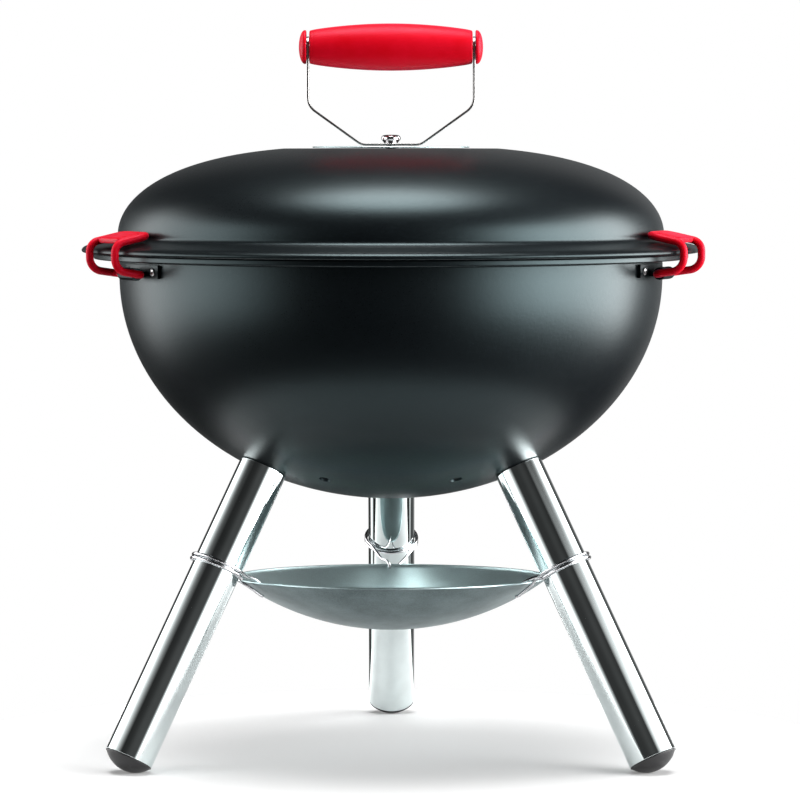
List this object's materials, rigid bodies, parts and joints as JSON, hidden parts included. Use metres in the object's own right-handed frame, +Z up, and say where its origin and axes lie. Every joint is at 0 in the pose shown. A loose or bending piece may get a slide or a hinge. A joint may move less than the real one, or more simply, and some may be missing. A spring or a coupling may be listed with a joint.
{
  "type": "portable tabletop grill",
  "caption": "Round charcoal kettle grill with a clipped-down domed lid, splayed tube legs, a hanging ash dish and a lid handle that turns the vent.",
  "frame": {"origin": "on the floor under the kettle's axis", "axes": "+Z up, front faces -Y, +X to the right of a person facing the front"},
  "size_m": [0.41, 0.4147, 0.4846],
  "materials": {
    "black_enamel": "satin black baked enamel with a fine grain",
    "leg_chrome": "polished",
    "bolt_chrome": "polished",
    "foot_plastic": "moulded, smooth",
    "steel": "bright stainless",
    "spring_wire": "drawn spring wire",
    "grate_wire": "plated wire",
    "dish_aluminium": "matt, finely grained",
    "red_silicone": "matt silicone"
  },
  "bodies": {
    "base": {"ash_dish": "dish_aluminium", "bowl_shell": "black_enamel", "charcoal_grate": "grate_wire", "clip_bracket_left": "black_enamel", "clip_bracket_right": "black_enamel", "clip_rivet_left_a": "steel", "clip_rivet_left_b": "steel", "clip_rivet_right_a": "steel", "clip_rivet_right_b": "steel", "dish_clip_back": "spring_wire", "dish_clip_left": "spring_wire", "dish_clip_right": "spring_wire", "foot_cap_back": "foot_plastic", "foot_cap_left": "foot_plastic", "foot_cap_right": "foot_plastic", "grate_bracket_front": "steel", "grate_bracket_left": "steel", "grate_bracket_right": "steel", "leg_bolt_back": "steel", "leg_bolt_left": "steel", "leg_bolt_right": "steel", "leg_plug_back": "steel", "leg_plug_left": "steel", "leg_plug_right": "steel", "leg_tube_back": "leg_chrome", "leg_tube_left": "leg_chrome", "leg_tube_right": "leg_chrome", "leg_washer_back": "steel", "leg_washer_left": "steel", "leg_washer_right": "steel"},
    "cooking_grate": {"cooking_grate": "grate_wire"},
    "lid": {"lid_shell": "black_enamel", "lid_bolt": "bolt_chrome", "lid_washer": "steel", "lid_nut": "steel"},
    "handle": {"vent_disc": "dish_aluminium", "handle_band": "steel", "grip_barrel": "red_silicone", "grip_cap_left": "red_silicone", "grip_cap_right": "red_silicone", "grip_rod": "steel"},
    "clip_left": {"clip_loop_left": "red_silicone", "clip_pad_left": "red_silicone"},
    "clip_right": {"clip_loop_right": "red_silicone", "clip_pad_right": "red_silicone"}
  },
  "joints": [
    {"name": "lid_lift", "type": "slide", "parent": "base", "child": "lid", "axis": [0, 0, 1], "range_m": [0, 0.24]},
    {"name": "grate_lift", "type": "slide", "parent": "base", "child": "cooking_grate", "axis": [0, 0, 1], "range_m": [0, 0.04]},
    {"name": "vent_turn", "type": "hinge", "parent": "lid", "child": "handle", "pos_m": [0, 0, 0.402], "axis": [0, 0, 1], "range_deg": [0, 45]},
    {"name": "clip_left_swing", "type": "hinge", "parent": "base", "child": "clip_left", "pos_m": [-0.16795, -0.08668, 0.3214], "axis": [0.4587, -0.8886, 0], "range_deg": [0, 105]},
    {"name": "clip_right_swing", "type": "hinge", "parent": "base", "child": "clip_right", "pos_m": [0.17738, -0.06526, 0.3214], "axis": [0.3453, 0.9385, 0], "range_deg": [0, 105]}
  ]
}
